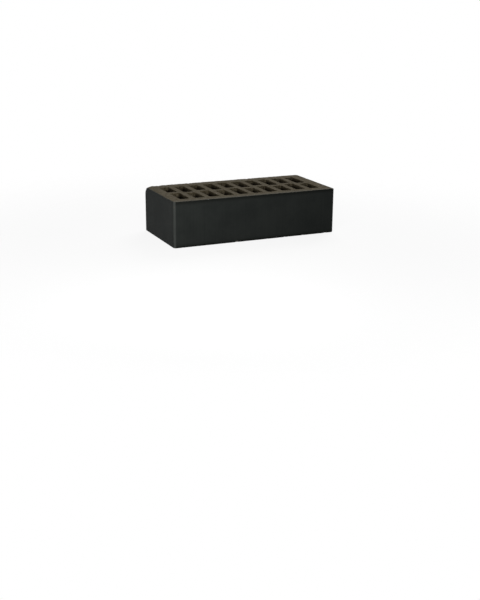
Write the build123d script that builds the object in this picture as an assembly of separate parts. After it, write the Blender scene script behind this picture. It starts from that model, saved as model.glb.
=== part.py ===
from build123d import *
import os

# A perforated clay facing brick of the single 250 x 120 x 65 mm format. The clay is
# pushed through a die, which forms the side faces, the round upright corners and the
# slots, and wires then cut it to height, which leaves the two flat bed faces.
#
# The brick lies on its lower bed face. X runs along its length, Y across its width
# from the front stretcher face to the back one, and Z up through the slots. The
# origin is the middle of the lower bed face. All sizes are in millimetres.

# The block
length = 250.0
width = 120.0
height = 65.0
corner_radius = 4.5  # the upright corners, rounded by the die
arris_radius = 1.2  # the blunt edge where a side face meets a bed face

# The slots, in pairs across the width. Each pair has a long slot and a short one, and
# its neighbours have them the other way round, so the middle web steps to and fro.
slot_pairs = 10
slot_width = 14.5  # along the brick's length
slot_corner_radius = 2.5
end_wall = 16.5  # clay between a header face and the first slot
face_wall = 17.0  # clay between a stretcher face and the slots
middle_web = 7.5  # clay between the two slots of a pair
slot_stagger = 6.0  # how much longer a pair's long slot is than its short one

# What follows from them: the cross webs share the length that the slots leave, and
# the slots share the width that the walls and the middle web leave.
cross_web = (length - 2 * end_wall - slot_pairs * slot_width) / (slot_pairs - 1)
pair_pitch = slot_width + cross_web
slot_run = width - 2 * face_wall - middle_web
long_slot = (slot_run + slot_stagger) / 2
short_slot = (slot_run - slot_stagger) / 2


def slot_pair(number):
    """The two slots of one pair, counted from the left header face."""
    across = -length / 2 + end_wall + slot_width / 2 + number * pair_pitch
    long_in_front = number % 2 == 0
    front_slot = long_slot if long_in_front else short_slot
    back_slot = short_slot if long_in_front else long_slot
    front_middle = -width / 2 + face_wall + front_slot / 2
    back_middle = width / 2 - face_wall - back_slot / 2
    front = RectangleRounded(slot_width, front_slot, slot_corner_radius)
    back = RectangleRounded(slot_width, back_slot, slot_corner_radius)
    return Pos(across, front_middle) * front + Pos(across, back_middle) * back


def die_section():
    """The brick's section, as the die leaves it."""
    outline = RectangleRounded(length, width, corner_radius)
    return outline - [slot_pair(number) for number in range(slot_pairs)]


def cut_brick():
    """The section cut to height, with the outer edges of both beds blunted."""
    brick = extrude(die_section(), amount=height)
    beds = brick.faces().sort_by(Axis.Z)
    outer_edges = beds[0].outer_wire().edges() + beds[-1].outer_wire().edges()
    return fillet(outer_edges, arris_radius)


os.makedirs("parts", exist_ok=True)
export_step(cut_brick(), "parts/brick.step")
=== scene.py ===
import math
import random

import bpy
from mathutils import Matrix, Vector, noise
from mathutils.geometry import delaunay_2d_cdt


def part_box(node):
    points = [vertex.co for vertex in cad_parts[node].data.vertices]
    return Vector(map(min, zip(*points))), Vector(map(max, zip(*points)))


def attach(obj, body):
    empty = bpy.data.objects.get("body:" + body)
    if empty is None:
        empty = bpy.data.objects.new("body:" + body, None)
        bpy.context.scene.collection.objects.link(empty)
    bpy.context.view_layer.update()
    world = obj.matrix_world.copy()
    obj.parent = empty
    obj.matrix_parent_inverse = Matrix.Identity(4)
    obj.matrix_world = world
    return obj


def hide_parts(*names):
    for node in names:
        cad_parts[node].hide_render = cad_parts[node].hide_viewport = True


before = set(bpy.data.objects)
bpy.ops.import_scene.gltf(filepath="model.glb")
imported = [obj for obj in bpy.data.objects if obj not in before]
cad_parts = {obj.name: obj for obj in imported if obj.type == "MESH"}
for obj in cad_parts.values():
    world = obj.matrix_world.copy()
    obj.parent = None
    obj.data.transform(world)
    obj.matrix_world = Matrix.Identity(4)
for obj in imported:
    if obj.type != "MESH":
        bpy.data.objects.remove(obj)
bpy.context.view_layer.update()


# The extruded clay bar. Stiff black clay leaves the die with smooth side faces, round upright
# corners and two rows of slots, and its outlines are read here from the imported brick's upper bed.
mm = 0.001
brick_low, brick_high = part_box("brick")
height = (brick_high.z - brick_low.z) / mm


def bed_outlines(packed_brick):
    """The edges of the flat upper bed, the outer one first: x0, x1, y0, y1 and corner radius."""
    corners = [
        (round(v.co.x / mm, 3), round(v.co.y / mm, 3), v.co.z / mm)
        for v in packed_brick.data.vertices
    ]
    sides = set()
    for face in packed_brick.data.polygons:
        round_face = [corners[v] for v in face.vertices]
        if min(z for x, y, z in round_face) > height - 0.01:
            flat = [(x, y) for x, y, z in round_face]
            sides.update(zip(flat, flat[1:] + flat[:1]))
    onward = {a: b for a, b in sides if (b, a) not in sides}
    outlines = []
    while onward:
        first, spot = onward.popitem()
        edge = [first]
        while spot != first:
            edge.append(spot)
            spot = onward.pop(spot)
        x0 = min(x for x, y in edge)
        x1 = max(x for x, y in edge)
        y0 = min(y for x, y in edge)
        y1 = max(y for x, y in edge)
        radius = y1 - max(y for x, y in edge if x > x1 - 0.001)
        outlines.append((x0, x1, y0, y1, radius))
    return sorted(outlines)


bed_edge, *slot_edges = bed_outlines(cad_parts["brick"])
arris = brick_high.x / mm - bed_edge[1]
skin_edge = (
    bed_edge[0] - arris,
    bed_edge[1] + arris,
    bed_edge[2] - arris,
    bed_edge[3] + arris,
    bed_edge[4] + arris,
)


def ring_spots(edge, step):
    """Even spots round an outline, each as x, y and the direction out of the outline."""
    x0, x1, y0, y1, radius = edge
    middle = Vector(((x0 + x1) / 2, (y0 + y1) / 2))
    spots = []
    for turn in range(4):
        out = Vector((math.cos(turn * math.pi / 2), math.sin(turn * math.pi / 2)))
        along = Vector((-out.y, out.x))
        reach = abs(out.x) * (x1 - x0) / 2 + abs(out.y) * (y1 - y0) / 2
        straight = abs(out.y) * (x1 - x0) / 2 + abs(out.x) * (y1 - y0) / 2 - radius
        runs = max(1, round(2 * straight / step))
        for i in range(runs):
            spot = middle + out * reach + along * straight * (2 * i / runs - 1)
            spots.append((spot.x, spot.y, out.x, out.y))
        hub = middle + out * (reach - radius) + along * straight
        bends = max(2, round(radius * math.pi / 2 / step))
        for i in range(bends):
            angle = math.pi / 2 * (turn + i / bends)
            way = Vector((math.cos(angle), math.sin(angle)))
            spot = hub + way * radius
            spots.append((spot.x, spot.y, way.x, way.y))
    return spots


# The wire cut. A wire at each bed pulls through the bar from front to back. Grit ploughs grooves along
# its path, soft spots tear out, and burrs curl up where it leaves the clay, at the back arris and the
# near side of each slot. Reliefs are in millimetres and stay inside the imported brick's box.
bed_layer = 30  # the upper bed reads the noise this much higher up than the lower one


def smooth(value, low, high):
    """0 below low, 1 above high and a soft step between them."""
    share = min(1.0, max(0.0, (value - low) / (high - low)))
    return share * share * (3 - 2 * share)


def lumps(x, y, z, across, along, up):
    """Even noise of about -1 to 1, with lumps of that size each way."""
    return noise.noise(Vector((x / across, y / along, z / up)))


def bed_relief(x, y, bed):
    """How far the wire-cut face lies above its plane. The bed is 0 below and 1 above."""
    layer = bed_layer * bed
    x += 0.9 * lumps(x, y, layer + 61, 19, 26, 1)
    wave = 0.09 * lumps(x, y, layer + 11, 42, 58, 1)
    groove = 0.05 * lumps(x, y, layer + 12, 2.1, 24, 1)
    groove += 0.03 * lumps(x, y, layer + 13, 5.3, 60, 1)
    torn = smooth(lumps(x, y, layer + 14, 7, 11, 1), 0.12, 0.5)
    crumb = torn * (0.15 * lumps(x, y, layer + 15, 1.7, 2.3, 1) - 0.08)
    pit = -0.5 * smooth(lumps(x, y, layer + 16, 2.7, 3.6, 1), 0.42, 0.7)
    return wave + groove + crumb + pit - 0.14


def skin_relief(x, y, z):
    """How far a side face stands out of its plane: slow swells and the die's fine lines."""
    swell = 0.05 * lumps(x, y, z + 7, 46, 46, 60)
    die_line = 0.022 * lumps(x, y, z + 90, 1.8, 1.8, 170)
    pit = -0.16 * smooth(lumps(x, y, z + 300, 2.4, 2.4, 2.9), 0.5, 0.72)
    return swell + die_line + pit - 0.075


def slot_relief(x, y, z):
    """How far a slot's wall is pushed back into the clay by the core and its drag."""
    swell = 0.16 * lumps(x, y, z + 31, 11, 11, 45)
    drag_line = 0.09 * lumps(x, y, z + 500, 1.7, 1.7, 120)
    crumb = 0.07 * lumps(x, y, z + 700, 1.6, 1.6, 2.2)
    return swell + drag_line + crumb


# Knocks from handling. Small chips sit along the arrises and upright corners, and the back left
# corner of the upper bed is rubbed round, as on the brick in the picture.
dice = random.Random(65)
ring_step = 1.0
skin_spots = ring_spots(skin_edge, ring_step)
chips = []
for number in range(30):
    x, y, out_x, out_y = dice.choice(skin_spots)
    z = dice.choice((0.0, height))
    size = 1.2 + 2.0 * dice.random() ** 2
    upper_front_arris = out_y <= -0.5 and z == height
    if not upper_front_arris:
        chips.append((Vector((x, y, z)), size, size * dice.uniform(0.16, 0.3)))
for out_x in (-1, 1):
    for out_y in (-1, 1):
        for number in range(3):
            inward = 0.3 * skin_edge[4]
            x = out_x * (skin_edge[1] - inward)
            y = out_y * (skin_edge[3] - inward)
            z = dice.uniform(6, height - 6)
            size = dice.uniform(0.9, 1.9)
            chips.append((Vector((x, y, z)), size, size * 0.2))
rubbed_corner = Vector((skin_edge[0], skin_edge[3], height))
rubbed_way = Vector((-1.0, 1.0, 1.0)).normalized()
rubbed_reach = 7.2  # from the sharp corner of the box to where the rubbing starts
rubbed_round = 2.0  # how softly it starts
chip_setback = 0.7  # the share of a chip's depth that is taken off each of the two faces


def knocked_off(x, y, z):
    """The depth that knocks have taken from the clay here, and how bare they leave it."""
    spot = Vector((x, y, z))
    depth = 0.0
    bare = 0.0
    for middle, size, most in chips:
        near = (spot - middle).length / size
        near *= 1 + 0.3 * lumps(x, y, z, 1.3, 1.3, 1.3)
        if near < 1:
            share = 1 - near * near
            depth = max(depth, most * share)
            bare = max(bare, smooth(share, 0.05, 0.5))
    return depth, bare


def rubbed_in(spot):
    """The spot drawn in along the rubbed corner's diagonal, the more the nearer to the corner."""
    past = (spot - rubbed_corner).dot(rubbed_way) + rubbed_reach
    past += 0.5 * lumps(spot.x, spot.y, spot.z, 4.5, 4.5, 4.5)
    if past <= 0:
        return spot
    drawn = past - rubbed_round * (1 - math.exp(-past / rubbed_round))
    return spot - rubbed_way * drawn


# The cut brick as one mesh: the outer skin with its blunt arrises, the wall of each slot with its torn
# mouths, and the two beds between them. Each vertex also says how far it is wire-cut, slot wall, bared
# by a knock, on an upright corner (painted highlight), near an arris (painted shade on the skin, greyer
# dragged skin on the bed), or on a slot's far wall (painted lighter as painted light).
spots = []
wire_cut = []
slot_wall = []
bared = []
corner_highlights = []
rim = []
lit_far_walls = []
faces = []


def add_spot(x, y, z, cut=0.0, core=0.0, bare=0.0, corner_highlight=0.0, edge=0.0, lit_far_wall=0.0):
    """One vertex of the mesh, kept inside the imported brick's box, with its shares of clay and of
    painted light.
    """
    spot = Vector((x, y, z))
    worn_spot = rubbed_in(spot)
    worn = (worn_spot - spot).length
    x, y, z = worn_spot
    x = min(skin_edge[1], max(skin_edge[0], x))
    y = min(skin_edge[3], max(skin_edge[2], y))
    z = min(height, max(0.0, z))
    spots.append((x * mm, y * mm, z * mm))
    wire_cut.append(cut)
    slot_wall.append(core)
    bared.append(max(bare, 0.5 * smooth(worn, 0.1, 1.4)))
    corner_highlights.append(corner_highlight)
    rim.append(edge)
    lit_far_walls.append(lit_far_wall)
    return len(spots) - 1


def wall_rows(rounding, bends, finest, widest):
    """Rows down a wall as the setback, the drop from its bed and the share of bed in each."""
    rows = []
    for i in range(bends + 1):
        angle = math.pi / 2 * i / bends
        setback = rounding * (1 - math.sin(angle))
        rows.append((setback, rounding * (1 - math.cos(angle)), 1 - i / bends))
    drop = rounding
    step = finest
    while drop + step < height / 2 - step / 3:
        drop += step
        rows.append((0.0, drop, 0.0))
        step = min(widest, step * 1.4)
    return rows


def wall_levels(rows):
    """The rows from the upper bed down to the lower one, as setback, height, bed share, bed."""
    upper = [(setback, height - drop, share, 1) for setback, drop, share in rows]
    lower = [(setback, drop, share, 0) for setback, drop, share in reversed(rows)]
    return upper + [(0.0, height / 2, 0.0, 1)] + lower


def burrs(x, y, bed, torn):
    """The ragged lip at a bed's edge: how far it stands up and how far it is torn back."""
    layer = bed_layer * bed
    curl = smooth(lumps(x, y, layer + 21, 3.4, 3.4, 1), -0.1, 0.5)
    gap = smooth(lumps(x, y, layer + 22, 2.6, 2.6, 1), 0.05, 0.5)
    return torn * (0.22 * curl - 0.3 * gap), torn * 0.4 * gap


def skin_wall(ring, rows):
    """The outer side faces. The wire bends the skin over the front arris and tears the back one."""
    loops = []
    for setback, z, share, bed in wall_levels(rows):
        loop = []
        up = 1 if bed else -1
        drop = min(z, height - z)
        for x, y, out_x, out_y in ring:
            torn = smooth(out_y, 0.2, 0.9)
            stand, tear = burrs(x, y, bed, 0.15 + 0.85 * torn)
            depth, bare = knocked_off(x, y, z)
            fill = 0.6 * torn * math.ceil(share)
            chipped = chip_setback * depth
            out = skin_relief(x, y, z) - setback * (1 - fill) - share * tear - chipped
            rise = share * (bed_relief(x, y, bed) + stand) + fill * drop - chipped
            in_front = smooth(-out_y, 0.2, 0.9)
            loop.append(
                add_spot(
                    x + out_x * out,
                    y + out_y * out,
                    z + up * rise,
                    cut=share * (0.62 + 0.38 * torn),
                    bare=bare,
                    # The upright corners get a painted highlight.
                    corner_highlight=smooth(2 * abs(out_x * out_y), 0.4, 0.9),
                    # A band along the arris gets painted shade on the skin and greyer dragged skin on
                    # the bed.
                    edge=(0.35 + 0.65 * in_front) * (1 - smooth(drop, arris, 6.0)),
                )
            )
        loops.append(loop)
    return loops


def core_wall(ring, rows):
    """The wall of one slot. Its mouth is torn most on the side where the wire comes out."""
    loops = []
    for setback, z, share, bed in wall_levels(rows):
        loop = []
        up = 1 if bed else -1
        near_bed = 1 - smooth(min(z, height - z), 0.4, 4.0)
        for x, y, out_x, out_y in ring:
            torn = 0.4 + 0.6 * smooth(-out_y, 0.2, 0.9)
            stand, tear = burrs(x, y, bed, torn)
            ragged = 0.22 * torn * lumps(x, y, bed_layer * bed + 5, 2.3, 2.3, 1)
            out = slot_relief(x, y, z) + setback + near_bed * (tear + ragged)
            rise = share * (bed_relief(x, y, bed) + stand)
            loop.append(
                add_spot(
                    x + out_x * out,
                    y + out_y * out,
                    z + up * rise,
                    cut=min(1.0, 1.6 * share),
                    core=1.0,
                    # The far walls are marked for painted light: painted lighter and lit deeper down.
                    lit_far_wall=smooth(out_y, 0.2, 0.8),
                )
            )
        loops.append(loop)
    return loops


def join_loops(loops, turned):
    """Quads between neighbouring rings of a wall."""
    for upper, lower in zip(loops, loops[1:]):
        for i in range(len(upper)):
            j = (i + 1) % len(upper)
            quad = (upper[i], lower[i], lower[j], upper[j])
            faces.append(quad[::-1] if turned else quad)


def outline_gap(x, y, edge):
    """The distance from a spot to an outline with round corners, negative inside it."""
    x0, x1, y0, y1, radius = edge
    over_x = abs(x - (x0 + x1) / 2) - (x1 - x0) / 2 + radius
    over_y = abs(y - (y0 + y1) / 2) - (y1 - y0) / 2 + radius
    outside = math.hypot(max(over_x, 0), max(over_y, 0))
    return outside + min(max(over_x, over_y), 0) - radius


def bed_spots(bed, step):
    """Uneven spots on the wire-cut face, clear of its edges, each with its number in the mesh."""
    clear = 0.6 * step
    row_gap = 0.866 * step  # the height of an even triangle
    found = []
    row = 0
    y = bed_edge[2]
    while y < bed_edge[3]:
        x = bed_edge[0] + step / 2 * (row % 2)
        while x < bed_edge[1]:
            spot_x = x + dice.uniform(-0.2, 0.2) * step
            spot_y = y + dice.uniform(-0.2, 0.2) * step
            inside = -outline_gap(spot_x, spot_y, bed_edge)
            near_slots = [edge for edge in slot_edges if edge[0] - 3 < spot_x < edge[1] + 3]
            gaps = [outline_gap(spot_x, spot_y, edge) for edge in near_slots]
            if min([inside] + [gap - mouth for gap in gaps]) > clear:
                depth = bare = 0.0
                if inside < chip_reach:
                    depth, bare = knocked_off(spot_x, spot_y, height * bed)
                rise = bed_relief(spot_x, spot_y, bed) - chip_setback * depth
                z = height + rise if bed else -rise
                edge = 1 - smooth(spot_y - bed_edge[2], 0.5, front_rim)
                index = add_spot(spot_x, spot_y, z, cut=1.0, bare=bare, edge=edge)
                found.append((Vector((spot_x, spot_y)), index))
            x += step
        y += row_gap
        row += 1
    return found


def bed_face(bed, rims, step):
    """The wire-cut face between the arris and the slot mouths, as a fine uneven net."""
    net = []
    rim_of = []
    lines = []
    known = []
    for rim_number, (rim, ring_edge, grown) in enumerate(rims):
        start = len(net)
        for index, (x, y, out_x, out_y) in zip(rim, ring_edge):
            net.append(Vector((x + out_x * grown, y + out_y * grown)))
            rim_of.append(rim_number)
            known.append(index)
        count = len(rim)
        lines += [(start + i, start + (i + 1) % count) for i in range(count)]
    for spot, index in bed_spots(bed, step):
        net.append(spot)
        rim_of.append(-1)
        known.append(index)
    _, _, triangles, sources, _, _ = delaunay_2d_cdt(net, lines, [], 0, 1e-5)
    source = [found[0] if found else -1 for found in sources]
    for triangle in triangles:
        first = [source[v] for v in triangle]
        around = {rim_of[v] for v in first}
        if -1 in first or (len(around) == 1 and min(around) > 0):
            continue
        a, b, c = (net[v] for v in first)
        turn = (b - a).cross(c - a)
        if abs(turn) < 1e-7:
            continue
        flat = [known[v] for v in first]
        faces.append(tuple(flat if (turn > 0) == bool(bed) else flat[::-1]))


mouth = 0.3  # how far the edge of a slot's mouth is rounded off
front_rim = 11.0  # how far the wire drags the skin in over the bed
chip_reach = 3.0  # further in than this, the beds aren't tested for chips
bed_step = 1.2
upper_rims = []
lower_rims = []
skin_loops = skin_wall(skin_spots, wall_rows(arris, 4, 0.8, 4.2))
join_loops(skin_loops, False)
upper_rims.append((skin_loops[0], skin_spots, -arris))
lower_rims.append((skin_loops[-1], skin_spots, -arris))
for slot_edge in slot_edges:
    slot_spots = ring_spots(slot_edge, ring_step)
    slot_loops = core_wall(slot_spots, wall_rows(mouth, 3, 0.9, 9.0))
    join_loops(slot_loops, True)
    upper_rims.append((slot_loops[0], slot_spots, mouth))
    lower_rims.append((slot_loops[-1], slot_spots, mouth))
bed_face(1, upper_rims, bed_step)
bed_face(0, lower_rims, bed_step)

brick_mesh = bpy.data.meshes.new("black_clay_brick")
brick_mesh.from_pydata(spots, [], faces)
for name, values in (
    ("wire_cut", wire_cut),
    ("slot_wall", slot_wall),
    ("bared", bared),
    ("corner_highlights", corner_highlights),
    ("rim", rim),
    ("lit_far_walls", lit_far_walls),
):
    brick_mesh.attributes.new(name, "FLOAT", "POINT").data.foreach_set("value", values)
brick_mesh.polygons.foreach_set("use_smooth", [True] * len(brick_mesh.polygons))
brick_mesh.update()
brick = bpy.data.objects.new("black_clay_brick", brick_mesh)
bpy.context.scene.collection.objects.link(brick)


# The fired clay. The die's polish leaves the skin near black with a dull sheen; a highlight is painted
# on its upright corners and shade in a band along its arrises. The wire's cut opens a taupe body with
# grit in it, greyer where it drags the skin over the front arris, and shade is painted into its pits.
# The slots are raw brown clay, painted lighter on their far walls and mouths as painted light and
# near black further down as painted shade.
class Tone:
    """A socket in the nodes of a material or the world. Sums and products of tones are Math nodes."""

    def __init__(self, tree, socket=None):
        self.tree = tree
        self.socket = socket

    def node(self, kind, settings, sockets, output=0):
        """Adds a node, with its settings made first and its sockets given values or links."""
        made = self.tree.nodes.new(kind)
        for name, value in settings.items():
            setattr(made, name, value)
        for name, value in sockets.items():
            if isinstance(value, Tone):
                self.tree.links.new(value.socket, made.inputs[name])
            else:
                made.inputs[name].default_value = value
        return Tone(self.tree, made.outputs[output])

    def math_node(self, operation, first, second):
        return self.node("ShaderNodeMath", {"operation": operation}, {0: first, 1: second})

    def __add__(self, other):
        return self.math_node("ADD", self, other)

    def __radd__(self, other):
        return self.math_node("ADD", other, self)

    def __sub__(self, other):
        return self.math_node("SUBTRACT", self, other)

    def __rsub__(self, other):
        return self.math_node("SUBTRACT", other, self)

    def __mul__(self, other):
        return self.math_node("MULTIPLY", self, other)

    def __rmul__(self, other):
        return self.math_node("MULTIPLY", other, self)

    def least(self, other):
        return self.math_node("MINIMUM", self, other)

    def most(self, other):
        return self.math_node("MAXIMUM", self, other)

    def step(self, low, high):
        """0 below low, 1 above high and a soft step between them."""
        return self.node(
            "ShaderNodeMapRange",
            {"interpolation_type": "SMOOTHSTEP"},
            {"Value": self, "From Min": low, "From Max": high},
        )

    def blend(self, below, above):
        """The colour below where this tone is 0 and the colour above where it is 1.

        Sockets 6 and 7 and output 2 are the ones that a Mix node has for colours.
        """
        return self.node(
            "ShaderNodeMix", {"data_type": "RGBA"}, {0: self, 6: below, 7: above}, output=2
        )

    def grain(self, size, detail=2.0, shift=0.0):
        """Noise of 0 to 1 on this place, with grains of that many millimetres each way."""
        scaled = self.node(
            "ShaderNodeVectorMath",
            {"operation": "MULTIPLY_ADD"},
            {0: self, 1: [1 / (each * mm) for each in size], 2: (shift, shift, shift)},
        )
        return self.node(
            "ShaderNodeTexNoise",
            {"noise_dimensions": "3D"},
            {"Vector": scaled, "Scale": 1.0, "Detail": detail, "Roughness": 0.55},
        )


def colour(red, green, blue):
    """A colour in linear light, as a socket takes it."""
    return (red, green, blue, 1.0)


fired_clay = bpy.data.materials.new("black_clay")
fired_clay.use_nodes = True
shader = fired_clay.node_tree.nodes["Principled BSDF"]
clay = Tone(fired_clay.node_tree)
place = clay.node("ShaderNodeTexCoord", {}, {}, output=3)
level = clay.node("ShaderNodeSeparateXYZ", {}, {0: place}, output=2) * (1 / mm)
cut_share = clay.node("ShaderNodeAttribute", {"attribute_name": "wire_cut"}, {}, output=2)
core_share = clay.node("ShaderNodeAttribute", {"attribute_name": "slot_wall"}, {}, output=2)
bare_share = clay.node("ShaderNodeAttribute", {"attribute_name": "bared"}, {}, output=2)
corner_highlight_share = clay.node("ShaderNodeAttribute", {"attribute_name": "corner_highlights"}, {}, output=2)
arris_shade_and_drag_share = clay.node("ShaderNodeAttribute", {"attribute_name": "rim"}, {}, output=2)
lit_far_wall_share = clay.node("ShaderNodeAttribute", {"attribute_name": "lit_far_walls"}, {}, output=2)

cloud = place.grain((34, 34, 26), shift=3.0)
mottle = place.grain((6, 6, 8), shift=9.0)
grit = place.grain((1.3, 1.3, 1.3), shift=15.0)
fine_grit = place.grain((0.45, 0.45, 0.45), shift=21.0)
die_lines = place.grain((1.1, 1.1, 130), detail=3.0, shift=27.0)
wire_lines = place.grain((1.0, 38, 30), detail=3.0, shift=33.0)
torn_spots = place.grain((5.5, 8.0, 8.0), shift=39.0)
scuff_lines = place.grain((9, 9, 1.2), detail=3.0, shift=45.0)

skin_tone = (cloud * 0.9 + die_lines * 0.5 + mottle * 0.3).step(0.55, 1.15)
skin_colour = skin_tone.blend(colour(0.0202, 0.0227, 0.0214), colour(0.0268, 0.0297, 0.0277))
# A dark band painted along the skin's arrises, strongest at the front: painted shade.
skin_colour = (arris_shade_and_drag_share * 0.75).blend(skin_colour, colour(0.0088, 0.0094, 0.0080))
scuffs = scuff_lines.step(0.66, 0.8) * cloud.step(0.5, 0.62)
skin_colour = (scuffs * 0.3).blend(skin_colour, colour(0.05, 0.051, 0.047))
# The upright corners are painted paler: a painted highlight.
skin_colour = (corner_highlight_share * (0.6 + mottle * 0.4)).blend(skin_colour, colour(0.067, 0.0715, 0.067))
skin_specks = fine_grit.step(0.7, 0.78) * mottle.step(0.45, 0.6)
skin_colour = (skin_specks * 0.5).blend(skin_colour, colour(0.055, 0.054, 0.048))

bed_tone = (wire_lines * 0.35 + grit * 0.65 + torn_spots * 0.7).step(0.6, 1.1)
bed_colour = bed_tone.blend(colour(0.079, 0.067, 0.047), colour(0.128, 0.112, 0.084))
bed_colour = (arris_shade_and_drag_share * 0.6).blend(bed_colour, colour(0.128, 0.123, 0.107))
bed_specks = fine_grit.step(0.68, 0.76) * grit.step(0.45, 0.6)
bed_colour = (bed_specks * 0.5).blend(bed_colour, colour(0.19, 0.177, 0.148))
# The bed is darkened where its bump dips into pits: painted shade.
shaded_bed_pits = grit.step(0.36, 0.24)
bed_colour = (shaded_bed_pits * 0.55).blend(bed_colour, colour(0.026, 0.022, 0.016))

slot_depth = level.least(height - level)
# Slot walls are painted near black with depth as painted shade, starting deeper on the far walls.
slot_depth_shade = (slot_depth - lit_far_wall_share * mottle * 4.0).step(1.0, 6.5)
slot_near = (die_lines * 0.2 + grit * 0.6 + mottle * 0.4).step(0.48, 0.72)
slot_colour = slot_near.blend(colour(0.027, 0.021, 0.012), colour(0.060, 0.049, 0.031))
# A lighter copy of the slot colour, painted on the far walls and at the mouths as painted light.
painted_lit_slot_colour = slot_near.blend(colour(0.038, 0.030, 0.017), colour(0.110, 0.092, 0.061))
lit_slot_mouth = slot_depth.step(2.6, 0.5)
slot_colour = lit_far_wall_share.most(lit_slot_mouth * 0.75).blend(slot_colour, painted_lit_slot_colour)
slot_colour = slot_depth_shade.blend(slot_colour, colour(0.0066, 0.0048, 0.0030))

worn_clay = grit.blend(colour(0.050, 0.046, 0.038), colour(0.105, 0.097, 0.080))
cut_edge = (cut_share + (grit - 0.5) * 0.4).step(0.62, 0.92)
clay_colour = core_share.blend(skin_colour, slot_colour)
clay_colour = cut_edge.blend(clay_colour, bed_colour)
clay_colour = (bare_share * grit.step(0.25, 0.5)).blend(clay_colour, worn_clay)

rough_share = cut_edge.most(core_share).most(bare_share * 0.9)
roughness = 0.56 + rough_share * 0.44 + (mottle - 0.5) * 0.14

skin_height = die_lines * 0.05 + mottle * 0.03 + fine_grit * 0.02
bed_height = wire_lines * 0.07 + grit * 0.26 + fine_grit * 0.13 - shaded_bed_pits * 0.15
slot_height = die_lines * 0.22 + grit * 0.16
rough_height = core_share * slot_height + (1 - core_share) * skin_height
rough_height = cut_edge * bed_height + (1 - cut_edge) * rough_height + bare_share * grit * 0.3
bump = clay.node(
    "ShaderNodeBump", {}, {"Strength": 1.0, "Distance": mm, "Height": rough_height}
)

for socket, tone in (("Base Color", clay_colour), ("Roughness", roughness), ("Normal", bump)):
    fired_clay.node_tree.links.new(tone.socket, shader.inputs[socket])
shader.inputs["Specular IOR Level"].default_value = 0.022
brick_mesh.materials.append(fired_clay)
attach(brick, "root")
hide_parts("brick")


# The studio. A small soft box stands close in front at the left, a large one behind at the right
# lights the bed, and weak ones above and at the left fill in. The pale floor and the world show
# white, but the light they throw back is held low, and under the brick the floor stays dark.
def soft_box(name, place_at, size, watts):
    """A square lamp of that size in metres, turned towards the brick."""
    lamp = bpy.data.lights.new(name, "AREA")
    lamp.shape = "SQUARE"
    lamp.size = size
    lamp.energy = watts
    box = bpy.data.objects.new(name, lamp)
    box.location = place_at
    to_brick = Vector((0.0, 0.0, 0.04)) - box.location
    box.rotation_euler = to_brick.to_track_quat("-Z", "Y").to_euler()
    bpy.context.scene.collection.objects.link(box)
    return box


soft_box("soft_box_front", (-0.24, -0.40, 0.20), 0.24, 1.45)
soft_box("soft_box_above", (0.0, 0.2, 2.5), 1.5, 2.0)
for name, place_at, watts in (
    ("soft_box_left", (-1.1, 0.5, 0.45), 0.7),
    ("soft_box_behind", (0.60, 0.75, 0.75), 13.0),
):
    fill_box = soft_box(name, place_at, 0.8, watts)
    fill_box.visible_glossy = False


def seen_rays(tone):
    """1 for what the camera sees, also in a reflection or through glass, and 0 for light."""
    seen = tone.node("ShaderNodeLightPath", {}, {})
    outputs = seen.socket.node.outputs
    glossy = Tone(tone.tree, outputs["Is Glossy Ray"])
    clear = Tone(tone.tree, outputs["Is Transmission Ray"])
    return seen.most(glossy).most(clear)


world = bpy.data.worlds.new("studio")
world.use_nodes = True
bpy.context.scene.world = world
air = Tone(world.node_tree)
dim_air = air.node("ShaderNodeBackground", {}, {"Strength": 0.10, "Color": colour(1, 1, 1)})
white_air = air.node("ShaderNodeBackground", {}, {"Strength": 1.0, "Color": colour(1, 1, 1)})
shown_air = air.node("ShaderNodeMixShader", {}, {0: seen_rays(air), 1: dim_air, 2: white_air})
world.node_tree.links.new(
    shown_air.socket, world.node_tree.nodes["World Output"].inputs["Surface"]
)

floor_reach = 6.0
floor_mesh = bpy.data.meshes.new("studio_floor")
floor_mesh.from_pydata(
    [
        (-floor_reach, -floor_reach, 0.0),
        (floor_reach, -floor_reach, 0.0),
        (floor_reach, floor_reach, 0.0),
        (-floor_reach, floor_reach, 0.0),
    ],
    [],
    [(0, 1, 2, 3)],
)
floor = bpy.data.objects.new("studio_floor", floor_mesh)
bpy.context.scene.collection.objects.link(floor)
pale_floor = bpy.data.materials.new("pale_floor")
pale_floor.use_nodes = True
ground = Tone(pale_floor.node_tree)
seen = seen_rays(ground)
floor_colour = seen.blend(colour(0.16, 0.16, 0.16), colour(0.86, 0.86, 0.86))
matt_floor = ground.node("ShaderNodeBsdfDiffuse", {}, {"Color": floor_colour})
white_floor = ground.node("ShaderNodeEmission", {}, {"Strength": 1.0})
on_floor = ground.node("ShaderNodeTexCoord", {}, {}, output=3)
from_middle = ground.node("ShaderNodeVectorMath", {"operation": "LENGTH"}, {0: on_floor}, output=1)
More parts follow.
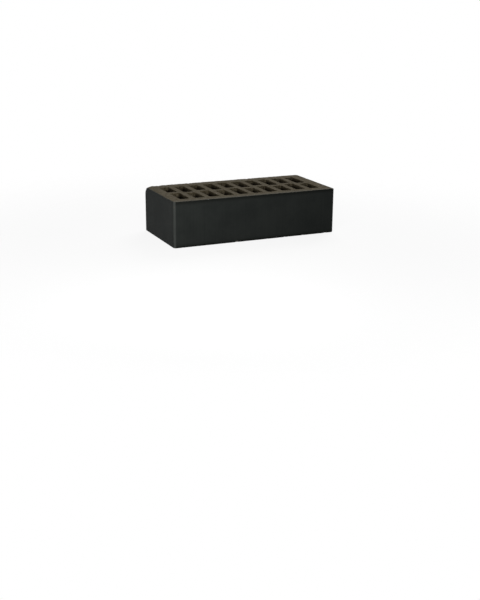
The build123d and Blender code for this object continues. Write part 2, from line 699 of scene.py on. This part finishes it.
off_lines = ground.node("ShaderNodeVectorMath", {"operation": "ABSOLUTE"}, {0: on_floor})
beside = ground.node("ShaderNodeSeparateXYZ", {}, {0: off_lines}, output=0)
before = ground.node("ShaderNodeSeparateXYZ", {}, {0: off_lines}, output=1)
beside = beside.step(brick_high.x - 5 * mm, brick_high.x - mm)
before = before.step(brick_high.y - 5 * mm, brick_high.y - mm)
shown_white = seen * 0.88 * beside.most(before)
lit_floor = ground.node("ShaderNodeMixShader", {}, {0: shown_white, 1: matt_floor, 2: white_floor})
no_floor = ground.node("ShaderNodeBsdfTransparent", {}, {})
faded_floor = ground.node(
    "ShaderNodeMixShader", {}, {0: from_middle.step(0.22, 0.60), 1: lit_floor, 2: no_floor}
)
pale_floor.node_tree.links.new(
    faded_floor.socket, pale_floor.node_tree.nodes["Material Output"].inputs["Surface"]
)
floor_mesh.materials.append(pale_floor)


# The camera. It stands a little to the left of the front face and looks down on the upper bed,
# at the place worked out from the edges and corners of the brick in the picture.
turned = math.radians(24.407)
tipped = math.radians(17.608)
rolled = math.radians(0.370)
ahead = Vector(
    (
        math.sin(turned) * math.cos(tipped),
        math.cos(turned) * math.cos(tipped),
        -math.sin(tipped),
    )
)
level_right = Vector((math.cos(turned), -math.sin(turned), 0.0))
level_up = level_right.cross(ahead)
right = math.cos(rolled) * level_right + math.sin(rolled) * level_up
upward = math.cos(rolled) * level_up - math.sin(rolled) * level_right
camera_data = bpy.data.cameras.new("camera")
picture_height = 600  # pixels, the picture's long side
focal_pixels = 998.7
camera_data.sensor_width = 36.0
camera_data.lens = camera_data.sensor_width * focal_pixels / picture_height
camera_data.clip_start = 0.01
camera_data.clip_end = 100.0
camera = bpy.data.objects.new("camera", camera_data)
camera.matrix_world = Matrix.Translation((-0.59086, -1.30689, 0.34857)) @ Matrix(
    (right, upward, -ahead)
).transposed().to_4x4()
bpy.context.scene.collection.objects.link(camera)
bpy.context.scene.camera = camera
bpy.context.scene.view_settings.view_transform = "Standard"
